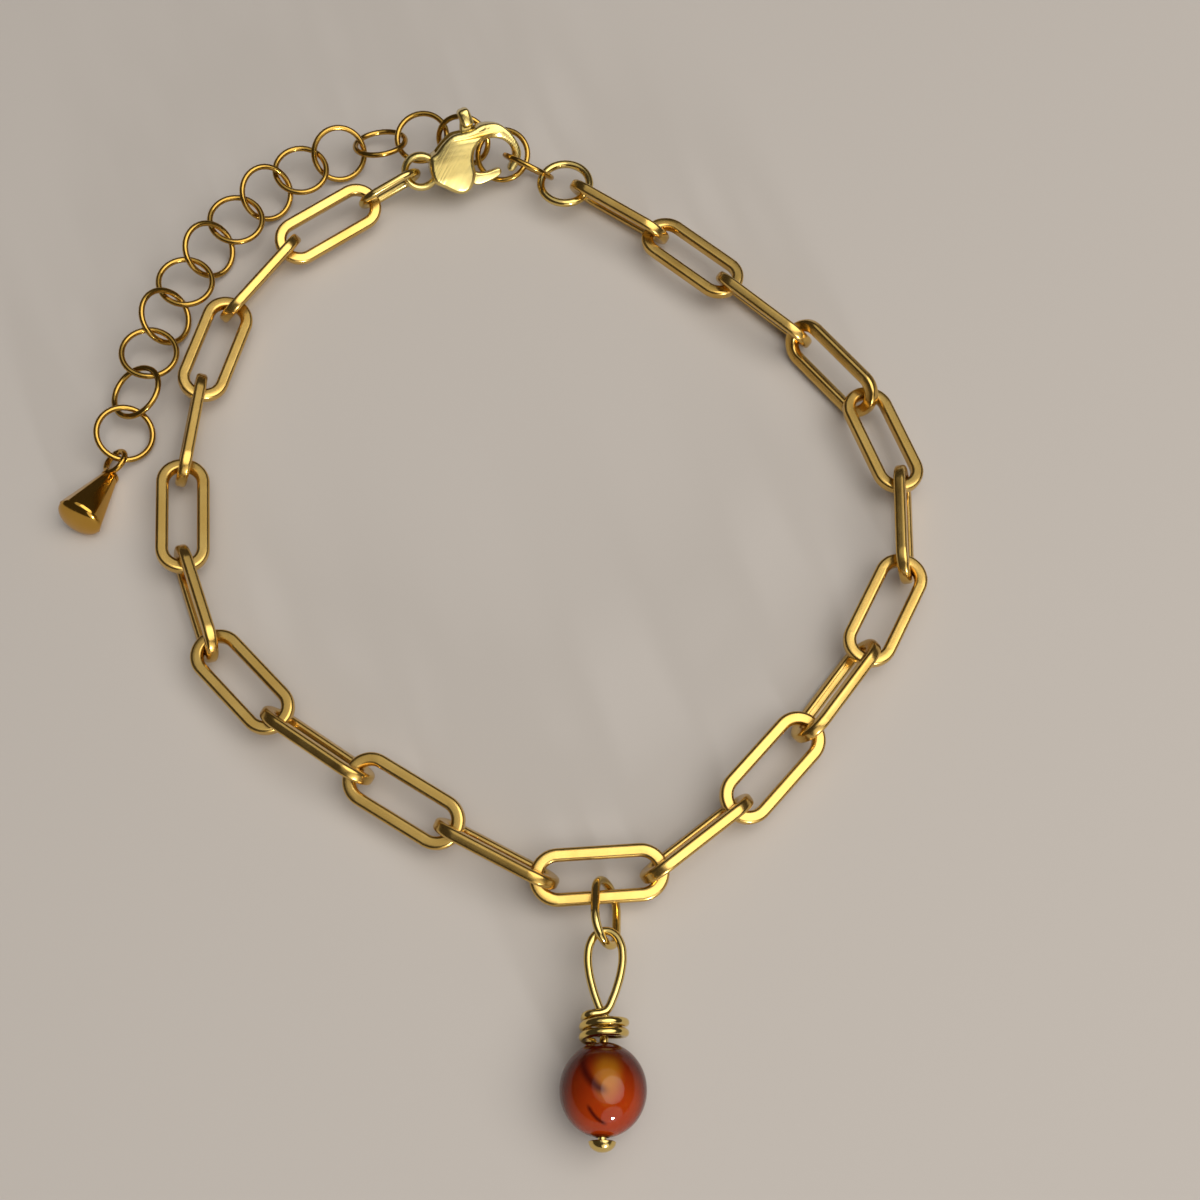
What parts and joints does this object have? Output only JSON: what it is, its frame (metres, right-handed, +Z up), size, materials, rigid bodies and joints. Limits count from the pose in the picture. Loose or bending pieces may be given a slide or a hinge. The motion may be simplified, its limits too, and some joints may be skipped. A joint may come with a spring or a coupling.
{
  "type": "bracelet",
  "caption": "Gold-plated paperclip-chain bracelet with a lobster clasp, an extension chain ending in a faceted teardrop, and one wire-wrapped carnelian bead charm.",
  "frame": {"origin": "bottom centre of the whole bracelet's box, on the surface it lies on", "axes": "+Z up from that surface; +Y from the bead charm towards the clasp; +X to the right with the charm nearest"},
  "size_m": [0.0696, 0.0894, 0.0069],
  "materials": {
    "gold_plated_steel": "satin gold plate",
    "pale_gold_brass": "fine brushed satin",
    "carnelian": "polished, translucent"
  },
  "bodies": {
    "bracelet": {"clasp_body": "pale_gold_brass", "clasp_ring": "gold_plated_steel", "jump_ring": "gold_plated_steel", "charm_ring": "pale_gold_brass", "head_pin": "pale_gold_brass", "birthstone": "carnelian", "drop": "gold_plated_steel", "link_01": "gold_plated_steel", "link_02": "gold_plated_steel", "link_03": "gold_plated_steel", "link_04": "gold_plated_steel", "link_05": "gold_plated_steel", "link_06": "gold_plated_steel", "link_07": "gold_plated_steel", "link_08": "gold_plated_steel", "link_09": "gold_plated_steel", "link_10": "gold_plated_steel", "link_11": "gold_plated_steel", "link_12": "gold_plated_steel", "link_13": "gold_plated_steel", "link_14": "gold_plated_steel", "link_15": "gold_plated_steel", "link_16": "gold_plated_steel", "link_17": "gold_plated_steel", "link_18": "gold_plated_steel", "link_19": "gold_plated_steel", "link_20": "gold_plated_steel", "link_21": "gold_plated_steel", "ext_ring_01": "gold_plated_steel", "ext_ring_02": "gold_plated_steel", "ext_ring_03": "gold_plated_steel", "ext_ring_04": "gold_plated_steel", "ext_ring_05": "gold_plated_steel", "ext_ring_06": "gold_plated_steel", "ext_ring_07": "gold_plated_steel", "ext_ring_08": "gold_plated_steel", "ext_ring_09": "gold_plated_steel", "ext_ring_10": "gold_plated_steel", "ext_ring_11": "gold_plated_steel", "ext_ring_12": "gold_plated_steel", "ext_ring_13": "gold_plated_steel", "ext_ring_14": "gold_plated_steel", "ext_ring_15": "gold_plated_steel"},
    "lever": {"clasp_lever": "pale_gold_brass"}
  },
  "joints": [
    {"name": "clasp_lever", "type": "hinge", "parent": "bracelet", "child": "lever", "pos_m": [-0.00372, 0.0386, 0.00341], "axis": [0.184, -0.7436, 0.6428], "range_deg": [0, 20], "stiffness_Nm_per_rad": 0.0001, "springref_deg": -11.46}
  ]
}
